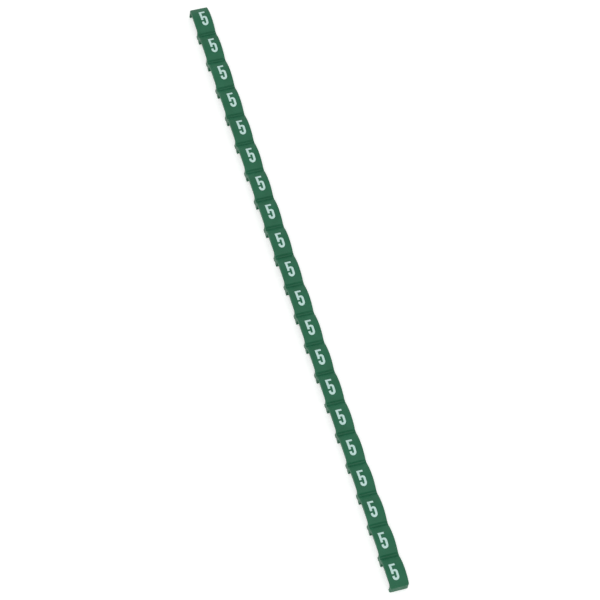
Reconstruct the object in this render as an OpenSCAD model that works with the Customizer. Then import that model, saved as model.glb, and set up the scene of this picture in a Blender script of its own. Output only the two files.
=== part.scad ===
// Strip of clip-on cable markers, moulded in one piece.
// X runs along the wire that a marker clips on, Y along the strip, Z up out of the printed tops.
// The origin is under the middle of the strip, in the plane of the feet.

/* [Strip] */
// Number of markers in the strip
marker_count = 20; // [2:1:30]
// Gap between neighbouring markers, bridged by a break-off web
joint_gap = 0.3; // [0.2:0.02:0.8]
// Rounding of the upright corners at the two ends of the strip
end_r = 0.28; // [0.1:0.02:0.5]

/* [Marker] */
// Length of one marker along the strip
marker_l = 3.8; // [3.3:0.02:5]
// Width of one marker along the wire
marker_w = 2.3; // [1.6:0.1:4]
// Height of the crown above the feet
marker_h = 1.75; // [1.6:0.01:2.4]
// Rise of the arched top from its ends to the crown
crown_rise = 0.58; // [0.4:0.01:0.7]
// Thickness of the roof under the crown
roof_t = 0.5; // [0.42:0.01:0.7]
// Rounding along the two side edges of the arched top
edge_r = 0.16; // [0.04:0.01:0.2]
// Height of the bevel where the arched top turns down into an end wall
shoulder_h = 0.08; // [0.03:0.01:0.15]

/* [Channel and legs] */
// Thickness of a leg above its lip
leg_t = 0.38; // [0.3:0.01:0.5]
// Rounding in the two upper corners of the channel
channel_r = 0.4; // [0.3:0.05:0.5]
// Reach of a snap lip into the channel
lip_d = 0.08; // [0.05:0.01:0.14]
// Height above the feet at which a lip runs out into its leg
lip_h = 0.34; // [0.3:0.02:0.5]
// Rounding of the two edges of a foot
foot_r = 0.14; // [0.08:0.01:0.16]

/* [Break-off webs] */
// Thickness of the scored neck at which a web snaps
neck_t = 0.78; // [0.4:0.01:0.85]
// Depth of the score across the top of a web
score_d = 0.06; // [0.02:0.01:0.15]
// Drop from the straight edge of an end wall to the top of the web
web_drop = 0.02; // [0.01:0.01:0.1]
// Height of a web's lower edge above the feet
web_rise = 0.1; // [0.05:0.01:0.3]

/* [Hidden] */
$fn = 40;

pitch = marker_l + joint_gap;
half_l = marker_l / 2;
first_y = -pitch * (marker_count - 1) / 2;
strip_half = half_l - first_y;
// The arc of a rounded end corner runs a little past the side and the end, so that it crosses them
end_arc_r = 1.04 * end_r;

// The arched top is part of the rim of a disc, whose axis lies under the marker
crown_r = (pow(half_l, 2) + pow(crown_rise, 2)) / (2 * crown_rise);
axis_z = marker_h - crown_r;

// Top of an end wall's flat face, and how steeply the bevel above it leans inwards
wall_z = marker_h - crown_rise - shoulder_h;
shoulder_lean = 0.8;

channel_h = marker_h - roof_t;
channel_half = half_l - leg_t;
mouth_half = channel_half - lip_d;

// A web is scored above, and notched below up to its neck
web_top = wall_z - web_drop;
neck_z = max(web_rise, web_top - score_d - neck_t);
// How far a web is rooted in each end wall
web_root = leg_t / 3;

// Turns a section drawn with the strip to the right and up as up into the part's frame
module across_strip() {
    rotate([90, 0, 90])
        children();
}

module both_ends() {
    children();
    mirror([1, 0])
        children();
}

// Disc with a rounded rim, as wide as a marker
module crown_disc() {
    translate([0, axis_z])
        rotate_extrude() {
            translate([0, edge_r - marker_w / 2])
                square([crown_r, marker_w - 2 * edge_r]);
            translate([0, -marker_w / 2])
                square([crown_r - edge_r, marker_w]);
            for (side = [-1, 1])
                translate([crown_r - edge_r, side * (marker_w / 2 - edge_r)])
                    circle(edge_r);
        }
}

// Stretch of the disc that is one marker, between its end walls and above the rounding of its feet
module wall_section() {
    above_z = marker_h + shoulder_h;
    bevel_y = half_l - shoulder_lean * (above_z - wall_z);
    polygon([
        [-half_l, foot_r],
        [half_l, foot_r],
        [half_l, wall_z],
        [bevel_y, above_z],
        [-bevel_y, above_z],
        [-half_l, wall_z]
    ]);
}

// Flat-roofed channel for the wire, open below
module channel_section() {
    translate([-channel_half, 0])
        square([2 * channel_half, channel_h - channel_r]);
    translate([channel_r - channel_half, 0])
        square([2 * (channel_half - channel_r), channel_h]);
    both_ends()
        translate([channel_half - channel_r, channel_h - channel_r])
            circle(channel_r);
}

// Rounded foot with the snap lip that holds the wire
module foot_section() {
    for (y = [mouth_half + foot_r, half_l - foot_r])
        translate([y, foot_r])
            circle(foot_r);
    translate([mouth_half + foot_r, 0])
        square([leg_t + lip_d - 2 * foot_r, 2 * foot_r]);
    polygon([
        [mouth_half, foot_r],
        [half_l - foot_r, foot_r],
        [half_l - foot_r, lip_h],
        [channel_half, lip_h],
        [mouth_half, lip_h - lip_d]
    ]);
}

module marker() {
    difference() {
        intersection() {
            crown_disc();
            linear_extrude(2 * marker_w, center = true)
                wall_section();
        }
        linear_extrude(2 * marker_w, center = true)
            channel_section();
    }
    linear_extrude(marker_w, center = true)
        both_ends()
            foot_section();
}

// Web from a marker to the next, scored above and notched below in the middle of the gap
module web() {
    root_y = half_l - web_root;
    neck_y = half_l + joint_gap / 2;
    far_y = half_l + joint_gap;
    linear_extrude(marker_w, center = true)
        polygon([
            [root_y, web_rise],
            [half_l, web_rise],
            [neck_y, neck_z],
            [far_y, web_rise],
            [far_y + web_root, web_rise],
            [far_y + web_root, web_top],
            [far_y, web_top],
            [neck_y, web_top - score_d],
            [half_l, web_top],
            [root_y, web_top]
        ]);
}

// What is cut away to round the four upright corners of the strip
module end_corners() {
    tall = 3 * marker_h;
    for (x = [-1, 1], y = [-1, 1])
        translate([x * (marker_w / 2 - end_r), y * (strip_half - end_r), 0])
            difference() {
                translate([x * end_r, y * end_r, 0])
                    cube([2 * end_r, 2 * end_r, tall], center = true);
                cylinder(h = 2 * tall, r = end_arc_r, center = true);
            }
}

module marker_strip() {
    color("seagreen")
        difference() {
            across_strip()
                for (i = [0 : marker_count - 1])
                    translate([first_y + i * pitch, 0]) {
                        marker();
                        if (i < marker_count - 1)
                            web();
                    }
            end_corners();
        }
}

marker_strip();
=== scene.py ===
import math

import bmesh
import bpy
from mathutils import Euler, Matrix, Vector


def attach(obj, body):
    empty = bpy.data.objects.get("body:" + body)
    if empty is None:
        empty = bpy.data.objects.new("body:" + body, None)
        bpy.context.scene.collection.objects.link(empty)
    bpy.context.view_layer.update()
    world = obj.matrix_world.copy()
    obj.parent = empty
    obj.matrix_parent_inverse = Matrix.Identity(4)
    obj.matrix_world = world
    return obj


MM = 0.001

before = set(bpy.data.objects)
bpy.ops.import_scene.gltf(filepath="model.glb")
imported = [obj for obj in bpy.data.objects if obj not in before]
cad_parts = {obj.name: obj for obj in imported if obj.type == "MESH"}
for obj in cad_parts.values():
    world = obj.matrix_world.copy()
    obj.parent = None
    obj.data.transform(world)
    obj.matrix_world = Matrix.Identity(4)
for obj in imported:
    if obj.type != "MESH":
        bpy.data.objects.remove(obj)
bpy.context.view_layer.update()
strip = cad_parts["marker_strip"]

# Strip, in millimetres
MARKER_COUNT = 20
PITCH = 4.1
MARKER_L = 3.8
MARKER_H = 1.75
CROWN_RISE = 0.58
CROWN_R = ((MARKER_L / 2) ** 2 + CROWN_RISE ** 2) / (2 * CROWN_RISE)
AXIS_Z = MARKER_H - CROWN_R

# Printed figure, in millimetres from the middle of its box
FIGURE_H = 2.04
FIGURE_W = 0.79
STROKE = 0.265
BAR = 0.25
BAR_SHORT = 0.06
BOWL_TOP = 0.28
BOWL_DIP = 0.06
BOWL_R = 0.34
SPUR_END = -0.26
TERMINAL_TOP = -0.50

# The print is a little out of true: where its middle lies on a marker in the middle of the strip,
# and how far it drifts from one marker to the next
FIGURE_X, DRIFT_X = -0.03, -0.018
FIGURE_Y, DRIFT_Y = -0.047, -0.0092

# Film of ink, in millimetres above and below the arched top, and how it is cut to follow the arch.
# The cuts are shifted a little, to keep clear of the outline's own corners.
FILM_UP = 0.012
FILM_DOWN = 0.03
FILM_ROWS = 24
CUT_SHIFT = 0.0007
CUT_TOLERANCE = 1e-6

# The part of a noise's range in which most of its values lie
NOISE_LOW = 0.3
NOISE_MIDDLE = 0.5
NOISE_HIGH = 0.7

# Stage, in metres
FLOOR_SIZE = 4.0
FLOOR_LIFT = 0.45
SOFT_BOX_PLACE = (-0.15, -0.35, 0.6)
SOFT_BOX_SIZE = 0.5
SOFT_BOX_POWER = 0.9
TENT_WALLS = 1.0
TENT_ROOF = 0.7
TENT_ROOF_FROM = 0.8

# Camera, at the photograph's angle: place and lens in millimetres, turn in degrees
CAMERA_PLACE = (-90.63, -180.14, 355.57)
CAMERA_TURN = (28.950, -5.405, -17.316)
CAMERA_LENS = 204
CAMERA_SENSOR = 36
CAMERA_NEAR_M = 0.01
CAMERA_FAR_M = 20


# Materials

def new_material(name):
    material = bpy.data.materials.new(name)
    material.use_nodes = True
    tree = material.node_tree
    return material, tree, tree.nodes["Principled BSDF"]


def noise(tree, scale, detail):
    """Noise over the object's own coordinates, in features per metre."""
    place = tree.nodes.new("ShaderNodeTexCoord")
    node = tree.nodes.new("ShaderNodeTexNoise")
    node.inputs["Scale"].default_value = scale
    node.inputs["Detail"].default_value = detail
    tree.links.new(place.outputs["Object"], node.inputs["Vector"])
    return node.outputs["Fac"]


def ramp(tree, value, stops):
    """Colour ramp over a value; each stop is a place and a linear colour."""
    node = tree.nodes.new("ShaderNodeValToRGB")
    elements = node.color_ramp.elements
    for element, (place, colour) in zip(elements, (stops[0], stops[-1])):
        element.position = place
        element.color = (*colour, 1)
    for place, colour in stops[1:-1]:
        elements.new(place).color = (*colour, 1)
    tree.links.new(value, node.inputs["Fac"])
    return node.outputs["Color"]


def spread(tree, value, low, high):
    """Maps the usual range of a noise to the range from low to high."""
    node = tree.nodes.new("ShaderNodeMapRange")
    node.inputs["From Min"].default_value = NOISE_LOW
    node.inputs["From Max"].default_value = NOISE_HIGH
    node.inputs["To Min"].default_value = low
    node.inputs["To Max"].default_value = high
    tree.links.new(value, node.inputs["Value"])
    return node.outputs["Result"]


def bump(tree, heights, distance):
    """Chain of bumps, each a height value and a strength."""
    normal = None
    for height, strength in heights:
        node = tree.nodes.new("ShaderNodeBump")
        node.inputs["Strength"].default_value = strength
        node.inputs["Distance"].default_value = distance
        tree.links.new(height, node.inputs["Height"])
        if normal:
            tree.links.new(normal, node.inputs["Normal"])
        normal = node.outputs["Normal"]
    return normal


def moulded_plastic():
    """Satin green moulding: faint flow clouds in the colour and a fine spark-eroded grain."""
    material, tree, shader = new_material("green_plastic")
    clouds = noise(tree, scale=620, detail=4)
    grain = noise(tree, scale=14000, detail=3)
    ripple = noise(tree, scale=1500, detail=2)
    colour = ramp(tree, clouds, [
        (NOISE_LOW, (0.0060, 0.117, 0.051)),
        (NOISE_MIDDLE, (0.0075, 0.128, 0.058)),
        (NOISE_HIGH, (0.0100, 0.139, 0.065)),
    ])
    roughness = spread(tree, ripple, low=0.42, high=0.54)
    normal = bump(tree, [(ripple, 0.10), (grain, 0.12)], distance=0.00002)
    tree.links.new(colour, shader.inputs["Base Color"])
    tree.links.new(roughness, shader.inputs["Roughness"])
    tree.links.new(normal, shader.inputs["Normal"])
    shader.inputs["IOR"].default_value = 1.5
    shader.inputs["Specular IOR Level"].default_value = 0.38
    return material


def print_ink():
    """Matt white print, a little uneven where it took on the grain."""
    material, tree, shader = new_material("white_ink")
    cover = noise(tree, scale=5200, detail=3)
    grain = noise(tree, scale=16000, detail=2)
    colour = ramp(tree, cover, [
        (NOISE_LOW, (0.47, 0.70, 0.65)),
        (NOISE_MIDDLE, (0.54, 0.765, 0.715)),
        (NOISE_HIGH, (0.59, 0.80, 0.755)),
    ])
    roughness = spread(tree, cover, low=0.5, high=0.64)
    normal = bump(tree, [(grain, 0.15)], distance=0.00001)
    tree.links.new(colour, shader.inputs["Base Color"])
    tree.links.new(roughness, shader.inputs["Roughness"])
    tree.links.new(normal, shader.inputs["Normal"])
    return material


# Printed figures

def arc(x, y, r, start, end, steps):
    angles = [math.radians(start + (end - start) * i / steps) for i in range(steps + 1)]
    return [(x + r * math.cos(a), y + r * math.sin(a)) for a in angles]


def figure_outline():
    """Narrow five: bar, stem with a spur, straight-sided bowl and short lower terminal."""
    half_w, half_h = FIGURE_W / 2, FIGURE_H / 2
    bottom_y = half_w - half_h
    bowl_x = half_w - BOWL_R
    bowl_y = BOWL_TOP - BOWL_R
    bar_end = half_w - BAR_SHORT
    inner_x = STROKE - half_w
    inner_y = BOWL_TOP - STROKE
    points = [(-half_w, half_h), (bar_end, half_h), (bar_end, half_h - BAR)]
    points += [(inner_x, half_h - BAR), (inner_x, BOWL_TOP - BOWL_DIP)]
    points += arc(bowl_x, bowl_y, BOWL_R, 90, 0, steps=14)
    points += arc(0, bottom_y, half_w, 0, -180, steps=28)
    points += [(-half_w, TERMINAL_TOP), (inner_x, TERMINAL_TOP)]
    points += arc(0, bottom_y, half_w - STROKE, -180, 0, steps=20)
    points += arc(bowl_x, bowl_y, BOWL_R - STROKE, 0, 90, steps=10)
    points += [(inner_x, inner_y), (inner_x, SPUR_END), (-half_w, SPUR_END)]
    return points


def on_arch(x, y, lift):
    """Point over x and y of a marker, on the arc that runs lift above its arched top."""
    r = CROWN_R + lift
    return Vector((x, y, AXIS_Z + math.sqrt(r * r - y * y)))


def printed_figure(name, centre_y, shift_x, shift_y, material):
    """Thin film of ink that follows the arch of the marker at centre_y."""
    bm = bmesh.new()
    bm.faces.new([bm.verts.new((x, y, 0)) for x, y in figure_outline()])
    for i in range(1, FILM_ROWS):
        level = FIGURE_H * (i / FILM_ROWS - 0.5) + CUT_SHIFT
        bmesh.ops.bisect_plane(bm, geom=bm.verts[:] + bm.edges[:] + bm.faces[:], dist=CUT_TOLERANCE,
                               plane_co=(0, level, 0), plane_no=(0, 1, 0))
    bmesh.ops.triangulate(bm, faces=bm.faces[:])
    bmesh.ops.recalc_face_normals(bm, faces=bm.faces[:])
    if bm.faces[:][0].normal.z < 0:
        bmesh.ops.reverse_faces(bm, faces=bm.faces[:])
    made = bmesh.ops.extrude_face_region(bm, geom=bm.faces[:], use_keep_orig=True)
    raised = {v for v in made["geom"] if isinstance(v, bmesh.types.BMVert)}
    for vert in bm.verts:
        lift = FILM_UP if vert in raised else -FILM_DOWN
        place = on_arch(vert.co.x + shift_x, vert.co.y + shift_y, lift)
        vert.co = (place + Vector((0, centre_y, 0))) * MM
    bmesh.ops.recalc_face_normals(bm, faces=bm.faces[:])
    mesh = bpy.data.meshes.new(name)
    bm.to_mesh(mesh)
    bm.free()
    mesh.materials.append(material)
    piece = bpy.data.objects.new(name, mesh)
    bpy.context.scene.collection.objects.link(piece)
    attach(piece, "root")


# Stage

def floor_material():
    """Pale paper that the camera sees as white, and that still takes the object's shadow."""
    material, tree, shader = new_material("paper")
    fibres = noise(tree, scale=260, detail=4)
    colour = ramp(tree, fibres, [(NOISE_LOW, (0.80, 0.80, 0.80)), (NOISE_HIGH, (0.84, 0.84, 0.84))])
    tree.links.new(colour, shader.inputs["Base Color"])
    shader.inputs["Roughness"].default_value = 0.9
    shader.inputs["Specular IOR Level"].default_value = 0.1
    paths = tree.nodes.new("ShaderNodeLightPath")
    seen = tree.nodes.new("ShaderNodeMath")
    seen.operation = "MAXIMUM"
    tree.links.new(paths.outputs["Is Camera Ray"], seen.inputs[0])
    tree.links.new(paths.outputs["Is Glossy Ray"], seen.inputs[1])
    lift = tree.nodes.new("ShaderNodeMath")
    lift.operation = "MULTIPLY"
    lift.inputs[1].default_value = FLOOR_LIFT
    tree.links.new(seen.outputs["Value"], lift.inputs[0])
    shader.inputs["Emission Color"].default_value = (1, 1, 1, 1)
    tree.links.new(lift.outputs["Value"], shader.inputs["Emission Strength"])
    return material


def add_floor():
    mesh = bpy.data.meshes.new("floor")
    half = FLOOR_SIZE / 2
    corners = [(-half, -half, 0), (half, -half, 0), (half, half, 0), (-half, half, 0)]
    mesh.from_pydata(corners, [], [(0, 1, 2, 3)])
    mesh.materials.append(floor_material())
    floor = bpy.data.objects.new("floor", mesh)
    bpy.context.scene.collection.objects.link(floor)


def add_soft_box():
    """Square soft box, turned to the middle of the strip."""
    data = bpy.data.lights.new("soft_box", "AREA")
    data.size = SOFT_BOX_SIZE
    data.energy = SOFT_BOX_POWER
    light = bpy.data.objects.new("soft_box", data)
    light.location = SOFT_BOX_PLACE
    light.rotation_euler = Vector(SOFT_BOX_PLACE).to_track_quat("Z", "Y").to_euler()
    bpy.context.scene.collection.objects.link(light)


def set_world():
    """Light tent: bright walls all round and a dimmer roof."""
    world = bpy.data.worlds.new("studio")
    world.use_nodes = True
    tree = world.node_tree
    back = tree.nodes["Background"]
    direction = tree.nodes.new("ShaderNodeTexCoord")
    split = tree.nodes.new("ShaderNodeSeparateXYZ")
    tree.links.new(direction.outputs["Generated"], split.inputs["Vector"])
    dim = TENT_ROOF / TENT_WALLS
    colour = ramp(tree, split.outputs["Z"], [(0.0, (1, 1, 1)), (TENT_ROOF_FROM, (dim, dim, dim))])
    tree.links.new(colour, back.inputs["Color"])
    back.inputs["Strength"].default_value = TENT_WALLS
    bpy.context.scene.world = world


def add_camera():
    data = bpy.data.cameras.new("camera")
    data.sensor_width = CAMERA_SENSOR
    data.lens = CAMERA_LENS
    data.clip_start = CAMERA_NEAR_M
    data.clip_end = CAMERA_FAR_M
    camera = bpy.data.objects.new("camera", data)
    camera.location = Vector(CAMERA_PLACE) * MM
    camera.rotation_euler = Euler([math.radians(a) for a in CAMERA_TURN])
    bpy.context.scene.collection.objects.link(camera)
    bpy.context.scene.camera = camera


strip.data.materials.clear()
strip.data.materials.append(moulded_plastic())

ink = print_ink()
for index in range(MARKER_COUNT):
    from_middle = index - (MARKER_COUNT - 1) / 2
    printed_figure("figure_%02d" % (index + 1), -PITCH * from_middle,
                   FIGURE_X + DRIFT_X * from_middle, FIGURE_Y + DRIFT_Y * from_middle, ink)

add_floor()
add_soft_box()
set_world()
add_camera()
bpy.context.scene.view_settings.view_transform = "Standard"
